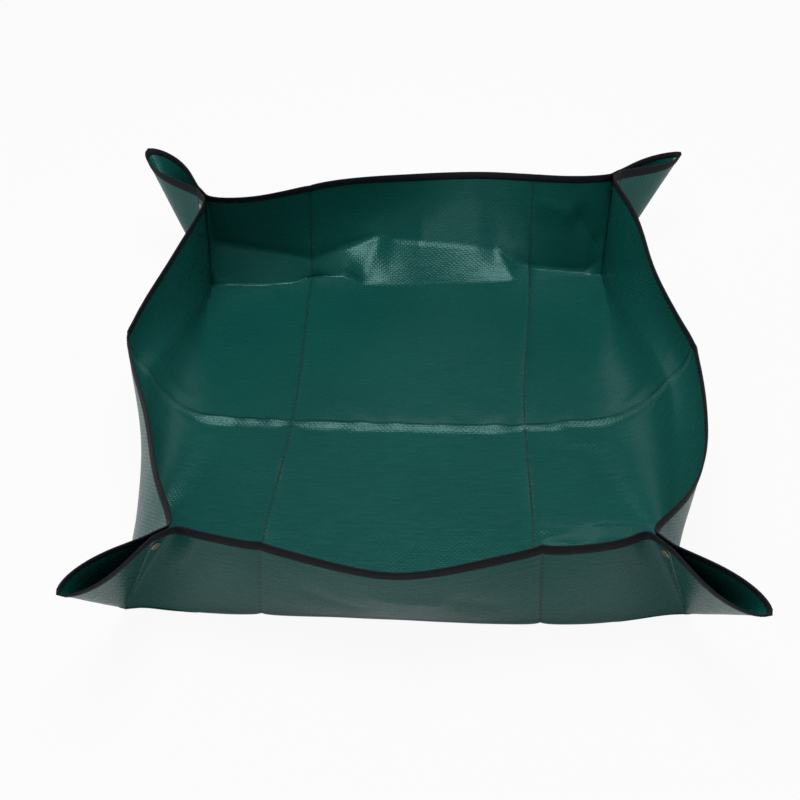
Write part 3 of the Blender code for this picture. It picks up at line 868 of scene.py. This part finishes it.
def laminate_material(finish):
    """Woven polyethylene laminate: flat green tapes under a thin clear film. The film gives a satin
    gloss, the tapes a square weave where light grazes it, and the packing creases pale scuffs that
    also serve as a painted highlight, with painted shade along their lines."""
    name = "woven polyethylene laminate"
    if name in bpy.data.materials:
        return bpy.data.materials[name]
    made, tree, shader = new_material(name)
    uv = node(tree, "ShaderNodeUVMap", uv_map="flat sheet").outputs["UV"]
    parts = node(tree, "ShaderNodeSeparateXYZ", {"Vector": uv})
    u, v = parts.outputs["X"], parts.outputs["Y"]
    tapes = []
    for coordinate in (u, v):
        turns = {0: coordinate, 1: math.pi / WEAVE_PITCH}
        wave = node(tree, "ShaderNodeMath", turns, operation="MULTIPLY")
        wave = node(tree, "ShaderNodeMath", {0: wave}, operation="SINE")
        tapes.append(node(tree, "ShaderNodeMath", {0: wave}, operation="ABSOLUTE"))
    over = node(tree, "ShaderNodeTexChecker", {"Vector": uv, "Scale": 1 / WEAVE_PITCH})
    weave = node(
        tree, "ShaderNodeMix", {"Factor": over.outputs["Fac"], 2: tapes[0], 3: tapes[1]}
    )
    # The film is drawn in long streaks, rubbed finely, worn in patches and clouded
    long_way = node(tree, "ShaderNodeMapping", {"Vector": uv, "Scale": (26.0, 210.0, 1.0)})
    streaks, rub, patches, cloud, rumple = (
        node(tree, "ShaderNodeTexNoise", {"Vector": way, "Scale": scale, "Detail": detail})
        for way, scale, detail in (
            (long_way, 1.0, 3.0), (uv, 320.0, 3.0), (uv, 14.0, 2.0), (uv, 7.0, 4.0), (uv, 34.0, 3.0)
        )
    )
    # A pale strip along the creases: rubbed film, and beside the middle crease a painted highlight
    # too.
    crease = along_creases(tree, u, v, SCUFF_AND_HIGHLIGHT_SHIFT, SCUFF_AND_HIGHLIGHT_WIDTH, THIRD_SCUFF_AND_HIGHLIGHT_WIDTH)
    worn = node(tree, "ShaderNodeMath", {0: rub, 1: patches}, operation="MULTIPLY")
    worn = node(tree, "ShaderNodeMath", {0: crease, 1: worn}, operation="MULTIPLY")
    scuff = node(tree, "ShaderNodeMapRange", {"Value": worn, "From Min": 0.17, "From Max": 0.32})
    pale = node(tree, "ShaderNodeMath", {0: scuff, 1: 0.22}, operation="MULTIPLY")
    # A painted shade is laid along the very line of each crease
    line = along_creases(tree, u, v, PAINTED_SHADE_SHIFT, PAINTED_SHADE_WIDTH, THIRD_PAINTED_SHADE_WIDTH)
    painted_shade_mask = node(tree, "ShaderNodeMath", {0: line, 1: 1.5}, operation="MULTIPLY")
    painted_shade_mask = node(tree, "ShaderNodeMath", {0: painted_shade_mask, 1: patches}, operation="MULTIPLY")
    colour = linear(finish.laminate_deep)
    for share, shade in ((cloud, finish.laminate), (pale, finish.scuff), (painted_shade_mask, finish.painted_crease_shade)):
        laid = {"Factor": share, 6: colour, 7: linear(shade)}
        colour = node(tree, "ShaderNodeMix", laid, data_type="RGBA").outputs[2]
    tree.links.new(colour, shader.inputs["Base Color"])
    rough = node(
        tree,
        "ShaderNodeMapRange",
        {"Value": streaks, "From Min": 0.3, "From Max": 0.7, "To Min": 0.22, "To Max": 0.33},
    )
    tree.links.new(rough.outputs["Result"], shader.inputs["Roughness"])
    # Sewing the tape on gathers the cloth beside it into short wrinkles
    pucker = near_line(tree, v, PUCKER_PLACE, PUCKER_WIDTH)
    pucker = node(tree, "ShaderNodeMath", {0: pucker, 1: 0.12}, operation="ADD")
    pucker = node(tree, "ShaderNodeMath", {0: pucker, 1: streaks}, operation="MULTIPLY")
    broad = node(tree, "ShaderNodeMath", {0: rumple, 1: 1.6}, operation="MULTIPLY")
    broad = node(tree, "ShaderNodeMath", {0: pucker, 1: broad}, operation="ADD")
    crumple = node(tree, "ShaderNodeMath", {0: crease, 1: 0.12}, operation="ADD")
    crumple = node(tree, "ShaderNodeMath", {0: crumple, 1: rub}, operation="MULTIPLY")
    lines = node(tree, "ShaderNodeMath", {0: broad, 1: crumple}, operation="ADD")
    fine = node(
        tree, "ShaderNodeBump", {"Height": weave, "Strength": 0.6, "Distance": 0.2 * MM}
    )
    bump = node(
        tree,
        "ShaderNodeBump",
        {"Height": lines, "Strength": 0.5, "Distance": 0.9 * MM, "Normal": fine},
    )
    tree.links.new(bump.outputs["Normal"], shader.inputs["Normal"])
    shader.inputs["Specular IOR Level"].default_value = 0.42
    shader.inputs["Specular Tint"].default_value = linear(finish.gloss)
    return made


def tape_material(finish):
    """Woven polypropylene tape: matt and nearly black, with fine ribs across it."""
    name = "woven polypropylene tape"
    if name in bpy.data.materials:
        return bpy.data.materials[name]
    made, tree, shader = new_material(name)
    uv = node(tree, "ShaderNodeUVMap", uv_map="along tape").outputs["UV"]
    # One rib each 0.9 mm
    ribs = node(
        tree,
        "ShaderNodeTexWave",
        {"Vector": uv, "Scale": 175.0, "Distortion": 0.6},
        wave_profile="SIN",
    )
    fleck = node(tree, "ShaderNodeTexNoise", {"Vector": uv, "Scale": 900.0, "Detail": 2.0})
    shade = node(tree, "ShaderNodeMapRange", {"Value": fleck, "To Min": 0.7, "To Max": 1.3})
    colour = node(
        tree,
        "ShaderNodeMix",
        {"Factor": 1.0, 6: linear(finish.tape), 7: shade},
        data_type="RGBA",
        blend_type="MULTIPLY",
    )
    tree.links.new(colour.outputs[2], shader.inputs["Base Color"])
    bump = node(
        tree,
        "ShaderNodeBump",
        {"Height": ribs.outputs["Fac"], "Strength": 0.6, "Distance": 0.2 * MM},
    )
    tree.links.new(bump.outputs["Normal"], shader.inputs["Normal"])
    shader.inputs["Roughness"].default_value = 0.72
    shader.inputs["Specular IOR Level"].default_value = 0.25
    return made


def thread_material(finish):
    """Polyester thread: the tape's colour, a little lighter, with a soft shine."""
    name = "polyester thread"
    if name in bpy.data.materials:
        return bpy.data.materials[name]
    made, tree, shader = new_material(name)
    place = node(tree, "ShaderNodeTexCoord").outputs["Object"]
    fleck = node(tree, "ShaderNodeTexNoise", {"Vector": place, "Scale": 2500.0})
    light = linear([min(1.0, c * 1.9) for c in finish.tape])
    shades = {"Factor": fleck, 6: linear(finish.tape), 7: light}
    colour = node(tree, "ShaderNodeMix", shades, data_type="RGBA")
    tree.links.new(colour.outputs[2], shader.inputs["Base Color"])
    shader.inputs["Roughness"].default_value = 0.55
    return made


def nickel_material(finish):
    """Nickel plated brass, stamped and tumbled: a warm metal with fine scuffs."""
    name = "nickel plated brass"
    if name in bpy.data.materials:
        return bpy.data.materials[name]
    made, tree, shader = new_material(name)
    place = node(tree, "ShaderNodeTexCoord").outputs["Object"]
    scuff = node(tree, "ShaderNodeTexNoise", {"Vector": place, "Scale": 1400.0, "Detail": 3.0})
    rough = node(tree, "ShaderNodeMapRange", {"Value": scuff, "To Min": 0.25, "To Max": 0.5})
    tree.links.new(rough.outputs["Result"], shader.inputs["Roughness"])
    dull = linear([c * 0.85 for c in finish.metal])
    shades = {"Factor": scuff, 6: dull, 7: linear(finish.metal)}
    colour = node(tree, "ShaderNodeMix", shades, data_type="RGBA")
    tree.links.new(colour.outputs[2], shader.inputs["Base Color"])
    shader.inputs["Metallic"].default_value = 1.0
    return made


def thicken(thing, thickness):
    """Gives the cloth its thickness, on its inner side."""
    solid = thing.modifiers.new("thickness", "SOLIDIFY")
    solid.thickness = thickness
    solid.offset = -1.0


def bake(thing):
    """Turns the object's evaluated shape into its own plain mesh."""
    depsgraph = bpy.context.evaluated_depsgraph_get()
    mesh = bpy.data.meshes.new_from_object(thing.evaluated_get(depsgraph))
    thing.modifiers.clear()
    thing.data = mesh
    return thing


def sheet_corners(context):
    """The four corners by name."""
    return {name: Corner(name, context.scene.mat_cloth) for name in CORNERS}


def sheet_lift(cloth, corners):
    """The relief of the whole sheet, which dies away at the snaps and at the rim's pinch."""
    places = [c.foot + (cloth.wall - SNAP_INSET / 2) * c.pinch for c in corners.values()]

    def lift(points, flat):
        return relief(flat, cloth) * fade_near(points, places, RELIEF_FADE)

    return lift


class MAT_OT_add_sheet(bpy.types.Operator):
    """Adds the floor and walls of the folded sheet"""

    bl_idname = "repotting_mat.add_sheet"
    bl_label = "Add folded sheet"

    def execute(self, context):
        cloth = context.scene.mat_cloth
        corners = sheet_corners(context)
        walls = main_grids(cloth, corners)
        collected = ClothMesh()
        for grid, flat in walls:
            collected.add(grid, flat)
        collected.add(*floor_grid(cloth, walls, corners), turned=True)
        for name, (grid, flat) in zip(WALLS, walls):
            first, last = (corners[corner] for corner in WALLS[name]["corners"])
            foot, place = grid[WALL_COLUMNS, 0], flat[WALL_COLUMNS, 0]
            collected.close((foot[1], foot[0], first.foot), (place[1], place[0], place[0]))
            collected.close((foot[-1], foot[-2], last.foot), (place[-1], place[-2], place[-1]))
        made = collected.build("folded_sheet", sheet_lift(cloth, corners))
        made.data.materials.append(laminate_material(context.scene.mat_finish))
        thicken(made, cloth.thickness)
        bake(made)
        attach(made, "root")
        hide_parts("mat_sheet")
        return {"FINISHED"}


class MAT_OT_add_ears(bpy.types.Operator):
    """Adds the four corner ears, which bend away from the sheet at their pinches"""

    bl_idname = "repotting_mat.add_ears"
    bl_label = "Add corner ears"

    def execute(self, context):
        cloth = context.scene.mat_cloth
        corners = sheet_corners(context)
        for name, corner in corners.items():
            collected = ClothMesh()
            collected.add(*ear_grid(corner, cloth))
            made = collected.build(f"corner_ear_{name}", sheet_lift(cloth, corners))
            made.data.materials.append(laminate_material(context.scene.mat_finish))
            thicken(made, cloth.thickness)
            bake(made)
            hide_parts(f"ear_{name}")
            blend_ear(made)
        return {"FINISHED"}


def blend_ear(thing):
    """Bakes the object's place into its mesh."""
    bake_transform(thing)


def rim_frames(grid):
    """Along a rim: the points, the way up out of the cloth, and the way outward."""
    rim = grid[:, -1]
    top = across(rim - grid[:, -3])
    outward = across(np.cross(np.gradient(rim, axis=0), top))
    return rim, top, outward


def tape_section(tape, sheet):
    """The U of the folded tape, as pairs of height above the rim and distance outward."""
    low, back_low = -tape.width, -tape.inner_share * tape.width
    near, face = tape.gap, tape.gap + tape.thickness
    inner, back = -sheet - near, -sheet - face
    half, bend = tape.thickness / 2, TAPE_BEND_SHARE * tape.thickness
    return [
        (low, near),
        (low - TAPE_EDGE, near + half),
        (low, face),
        (low / 2, face + TAPE_SWELL),
        (face - 2 * bend, face),
        (face - 0.3 * bend, face - bend),
        (face, -sheet / 2),
        (face - 0.3 * bend, back + bend),
        (face - 2 * bend, back),
        (back_low / 2, back - TAPE_SWELL),
        (back_low, back),
        (back_low - TAPE_EDGE, inner - half),
        (back_low, inner),
        (near, inner),
        (near, near),
    ]


def tape_object(name, grid, tape, sheet, finish):
    """The edge tape along one rim, closed at both ends."""
    rim, top, outward = rim_frames(grid)
    section = tape_section(tape, sheet)
    count = len(section)
    points = []
    for place, up, out in zip(rim, top, outward):
        points += [tuple(place + h * up + d * out) for h, d in section]
    faces = []
    for i in range(len(rim) - 1):
        for j in range(count):
            a, b = i * count + j, i * count + (j + 1) % count
            faces.append((a, a + count, b + count, b))
    faces.append(tuple(range(count)))
    faces.append(tuple((len(rim) - 1) * count + j for j in range(count))[::-1])
    mesh = bpy.data.meshes.new(name)
    mesh.from_pydata(points, [], faces)
    mesh.update()
    steps, width = (
        np.concatenate([[0], np.cumsum(np.linalg.norm(np.diff(line, axis=0), axis=1))])
        for line in (rim, section)
    )
    layer = mesh.uv_layers.new(name="along tape")
    for loop in mesh.loops:
        i, j = divmod(loop.vertex_index, count)
        layer.data[loop.index].uv = (steps[i], width[j])
    for polygon in mesh.polygons:
        polygon.use_smooth = True
    mesh.materials.append(tape_material(finish))
    return add_object(name, mesh)


def relief_grid(grid, flat, lift):
    """The grid as the cloth mesh has it once its relief is on."""
    normals = grid_normals(grid).reshape(-1, 3)
    points = grid.reshape(-1, 3)
    rise = lift(points, flat.reshape(-1, 2))
    return (points - normals * rise[:, None]).reshape(grid.shape)


def wall_rims(cloth, corners):
    """The grids of the four walls with their relief on, for what follows their rims."""
    lift = sheet_lift(cloth, corners)
    return [relief_grid(grid, flat, lift) for grid, flat in main_grids(cloth, corners)]


def ear_rim(corner, cloth, corners):
    """The same for one ear."""
    return relief_grid(*ear_grid(corner, cloth), sheet_lift(cloth, corners))


class MAT_OT_add_tape(bpy.types.Operator):
    """Adds the sewn tape round the sheet's edge"""

    bl_idname = "repotting_mat.add_tape"
    bl_label = "Add edge tape"

    def execute(self, context):
        scene = context.scene
        cloth, tape, finish = scene.mat_cloth, scene.mat_tape, scene.mat_finish
        corners = sheet_corners(context)
        for name, grid in zip(WALLS, wall_rims(cloth, corners)):
            made = tape_object(f"edge_tape_{name}", grid, tape, cloth.thickness, finish)
            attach(made, "root")
            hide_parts(f"tape_{name}")
        for name, corner in corners.items():
            grid = ear_rim(corner, cloth, corners)
            made = tape_object(f"edge_tape_ear_{name}", grid, tape, cloth.thickness, finish)
            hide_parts(f"ear_tape_{name}")
            blend_ear(made)
        return {"FINISHED"}


def stitch_tree():
    """Geometry nodes that lay stitches end to end along the curves of an object."""
    name = "stitches along a seam"
    if name in bpy.data.node_groups:
        return bpy.data.node_groups[name]
    tree = bpy.data.node_groups.new(name, "GeometryNodeTree")
    face = tree.interface
    face.new_socket("Geometry", in_out="INPUT", socket_type="NodeSocketGeometry")
    for label in ("Pitch", "Stitch length", "Thread radius"):
        face.new_socket(label, in_out="INPUT", socket_type="NodeSocketFloat")
    face.new_socket("Material", in_out="INPUT", socket_type="NodeSocketMaterial")
    face.new_socket("Geometry", in_out="OUTPUT", socket_type="NodeSocketGeometry")
    given = node(tree, "NodeGroupInput").outputs
    curve = node(tree, "GeometryNodeMeshToCurve", {"Mesh": given["Geometry"]})
    steps = {"Curve": curve, "Length": given["Pitch"]}
    spaced = node(tree, "GeometryNodeResampleCurve", steps, mode="LENGTH")
    half = node(tree, "ShaderNodeMath", {0: given["Stitch length"], 1: 0.5}, operation="MULTIPLY")
    ball = node(tree, "GeometryNodeMeshUVSphere", {"Segments": 6, "Rings": 4, "Radius": 1.0})
    thin = given["Thread radius"]
    size = node(tree, "ShaderNodeCombineXYZ", {"X": thin, "Y": thin, "Z": half})
    tangent = node(tree, "GeometryNodeInputTangent")
    turn = node(tree, "FunctionNodeAlignEulerToVector", {"Vector": tangent}, axis="Z")
    laid = node(
        tree,
        "GeometryNodeInstanceOnPoints",
        {"Points": spaced, "Instance": ball, "Rotation": turn, "Scale": size},
    )
    real = node(tree, "GeometryNodeRealizeInstances", {"Geometry": laid})
    painted = node(
        tree, "GeometryNodeSetMaterial", {"Geometry": real, "Material": given["Material"]}
    )
    node(tree, "NodeGroupOutput", {"Geometry": painted})
    return tree


def stitch_object(name, lines, tape, material):
    """Stitches along several lines of points, as one plain mesh."""
    points, edges = [], []
    for line in lines:
        first = len(points)
        points += [tuple(p) for p in line]
        edges += [(first + i, first + i + 1) for i in range(len(line) - 1)]
    mesh = bpy.data.meshes.new(name)
    mesh.from_pydata(points, edges, [])
    made = add_object(name, mesh)
    stitches = made.modifiers.new("stitches", "NODES")
    tree = stitch_tree()
    stitches.node_group = tree
    values = {
        "Pitch": tape.pitch,
        "Stitch length": tape.stitch,
        "Thread radius": tape.thread,
        "Material": material,
    }
    for item in tree.interface.items_tree:
        if item.in_out == "INPUT" and item.name in values:
            stitches[item.identifier] = values[item.name]
    return bake(made)


def seam_lines(grid, tape, sheet):
    """The seam on the outer and the inner leg of the tape."""
    rim, top, outward = rim_frames(grid)
    outer, inner = tape.width - tape.inset, tape.inner_share * tape.width - tape.inset
    face = tape.gap + tape.thickness + THREAD_LIFT
    return [rim - outer * top + face * outward, rim - inner * top - (sheet + face) * outward]


class MAT_OT_add_stitching(bpy.types.Operator):
    """Adds the thread that holds the edge tape, on both faces"""

    bl_idname = "repotting_mat.add_stitching"
    bl_label = "Add stitching"

    def execute(self, context):
        scene = context.scene
        cloth, tape = scene.mat_cloth, scene.mat_tape
        corners = sheet_corners(context)
        thread = thread_material(scene.mat_finish)
        lines = []
        for grid in wall_rims(cloth, corners):
            lines += seam_lines(grid, tape, cloth.thickness)
        made = stitch_object("tape_stitching", lines, tape, thread)
        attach(made, "root")
        for name, corner in corners.items():
            lines = seam_lines(ear_rim(corner, cloth, corners), tape, cloth.thickness)
            made = stitch_object(f"tape_stitching_{name}", lines, tape, thread)
            blend_ear(made)
        return {"FINISHED"}


class MAT_OT_finish_snaps(bpy.types.Operator):
    """Gives the metal pieces of the snap fasteners their finish"""

    bl_idname = "repotting_mat.finish_snaps"
    bl_label = "Finish snaps"

    def execute(self, context):
        nickel = nickel_material(context.scene.mat_finish)
        snaps = [t for name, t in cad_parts.items() if name.split("_")[0] in SNAP_PARTS]
        if not snaps:
            raise RuntimeError("the frame has no snap pieces to finish")
        for thing in snaps:
            for slot in thing.material_slots:
                slot.material = nickel
        return {"FINISHED"}


def stage_material():
    """Plain pale floor that turns white for the camera and keeps most of the shadow."""
    made = bpy.data.materials.new("studio floor")
    made.use_nodes = True
    tree = made.node_tree
    tree.nodes.clear()
    rays = node(tree, "ShaderNodeLightPath").outputs
    mirrored = {0: rays["Is Glossy Ray"], 1: rays["Is Transmission Ray"]}
    mirrored = node(tree, "ShaderNodeMath", mirrored, operation="MAXIMUM")
    mirrored = node(tree, "ShaderNodeMath", {0: mirrored, 1: 0.3}, operation="MULTIPLY")
    seen = node(tree, "ShaderNodeMath", {0: rays["Is Camera Ray"], 1: 0.93}, operation="MULTIPLY")
    part = node(tree, "ShaderNodeMath", {0: seen, 1: mirrored}, operation="MAXIMUM")
    plain = node(tree, "ShaderNodeBsdfDiffuse", {"Color": linear("#E4E4E4")})
    white = node(tree, "ShaderNodeEmission", {"Color": linear("#FFFFFF"), "Strength": 1.0})
    mixed = node(tree, "ShaderNodeMixShader", {0: part, 1: plain, 2: white})
    node(tree, "ShaderNodeOutputMaterial", {"Surface": mixed})
    return made


def studio_world():
    """White for the camera. For the object a pale backdrop stands round the floor, and the room
    above it is dim."""
    world = bpy.data.worlds.new("studio")
    world.use_nodes = True
    tree = world.node_tree
    tree.nodes.clear()
    rays = node(tree, "ShaderNodeLightPath").outputs
    place = node(tree, "ShaderNodeTexCoord").outputs["Generated"]
    way = node(tree, "ShaderNodeSeparateXYZ", {"Vector": place}).outputs
    fall, behind = (
        node(
            tree,
            "ShaderNodeMapRange",
            {
                "Value": way[axis], "From Min": low, "From Max": high,
                "To Min": at_low, "To Max": at_high,
            },
            interpolation_type="SMOOTHSTEP",
        )
        for axis, low, high, at_low, at_high in (
            ("Z", 0.38, 0.6, 0.95, 0.03),
            ("Y", -0.7, 0.1, 0.2, 1.0),
        )
    )
    glow = node(tree, "ShaderNodeMath", {0: fall, 1: behind}, operation="MULTIPLY")
    glow = node(tree, "ShaderNodeMath", {0: glow, 1: 0.06}, operation="ADD")
    dim = node(tree, "ShaderNodeBackground", {"Color": linear("#FFFFFF"), "Strength": glow})
    white = node(tree, "ShaderNodeBackground", {"Color": linear("#FFFFFF"), "Strength": 1.0})
    mixed = node(tree, "ShaderNodeMixShader", {0: rays["Is Camera Ray"], 1: dim, 2: white})
    node(tree, "ShaderNodeOutputWorld", {"Surface": mixed})
    return world


def add_lamp(name, place, target, size, power):
    """A round area lamp that points at its target."""
    lamp = bpy.data.lights.new(name, "AREA")
    lamp.shape = "DISK"
    lamp.size = size
    lamp.energy = power
    made = add_object(name, lamp)
    made.location = place
    made.rotation_euler = (Vector(target) - Vector(place)).to_track_quat("-Z", "Y").to_euler()


class MAT_OT_add_stage(bpy.types.Operator):
    """Adds the floor, the lights and the camera at the photograph's angle"""

    bl_idname = "repotting_mat.add_stage"
    bl_label = "Add stage"

    def execute(self, context):
        scene = context.scene
        floor = bpy.data.meshes.new("studio_floor")
        corners = [
            (x * FLOOR_REACH, y * FLOOR_REACH, -FLOOR_DROP)
            for x, y in ((-1, -1), (1, -1), (1, 1), (-1, 1))
        ]
        floor.from_pydata(corners, [], [(0, 1, 2, 3)])
        floor.materials.append(stage_material())
        ground = add_object("studio_floor", floor)
        for lamp in LAMPS:
            add_lamp(*lamp)
        scene.world = studio_world()
        scene.view_settings.view_transform = "Standard"
        add_camera(scene, scene.mat_stage)
        return {"FINISHED"}


def add_camera(scene, stage):
    """A camera that sees the mat's middle at the photograph's place and angle."""
    rise, turn, roll = stage.elevation, stage.turn, stage.roll
    level = Vector((math.sin(turn), math.cos(turn), 0.0))
    forward = math.cos(rise) * level - math.sin(rise) * Vector(UP)
    right = Vector((math.cos(turn), -math.sin(turn), 0.0))
    up = right.cross(forward)
    rolled_right = math.cos(roll) * right + math.sin(roll) * up
    rolled_up = math.cos(roll) * up - math.sin(roll) * right
    per_px = stage.distance / stage.focal_px
    place = (
        -stage.distance * forward
        - stage.centre_x_px * per_px * rolled_right
        + stage.centre_y_px * per_px * rolled_up
    )
    data = bpy.data.cameras.new("photo camera")
    data.sensor_width = SENSOR_MM
    data.lens = SENSOR_MM * stage.focal_px / PHOTO_WIDTH_PX
    data.clip_end = 50.0
    camera = add_object("photo camera", data)
    axes = Matrix((rolled_right, rolled_up, -forward)).transposed()
    camera.matrix_world = Matrix.Translation(place) @ axes.to_4x4()
    scene.camera = camera


class MAT_PT_panel(bpy.types.Panel):
    """Lists the operators and sizes of the repotting mat"""

    bl_idname = "MAT_PT_panel"
    bl_label = "Repotting mat"
    bl_space_type = "VIEW_3D"
    bl_region_type = "UI"
    bl_category = "Repotting mat"

    def draw(self, context):
        layout = self.layout
        for operator in OPERATORS:
            layout.operator(operator.bl_idname)
        for group in (getattr(context.scene, name) for name in GROUPS):
            for name in group.__annotations__:
                layout.prop(group, name)


OPERATORS = (
    MAT_OT_add_sheet,
    MAT_OT_add_ears,
    MAT_OT_add_tape,
    MAT_OT_add_stitching,
    MAT_OT_finish_snaps,
    MAT_OT_add_stage,
)
GROUPS = {
    "mat_cloth": RepottingMatCloth,
    "mat_tape": RepottingMatTape,
    "mat_finish": RepottingMatFinish,
    "mat_stage": RepottingMatStage,
}


def register():
    for cls in (*GROUPS.values(), *OPERATORS, MAT_PT_panel):
        bpy.utils.register_class(cls)
    for name, group in GROUPS.items():
        setattr(bpy.types.Scene, name, PointerProperty(type=group))


def unregister():
    for name in GROUPS:
        delattr(bpy.types.Scene, name)
    for cls in reversed((*GROUPS.values(), *OPERATORS, MAT_PT_panel)):
        bpy.utils.unregister_class(cls)


def main():
    register()
    bpy.ops.repotting_mat.add_sheet()
    bpy.ops.repotting_mat.add_ears()
    bpy.ops.repotting_mat.add_tape()
    bpy.ops.repotting_mat.add_stitching()
    bpy.ops.repotting_mat.finish_snaps()
    bpy.ops.repotting_mat.add_stage()


if __name__ == "__main__":
    main()
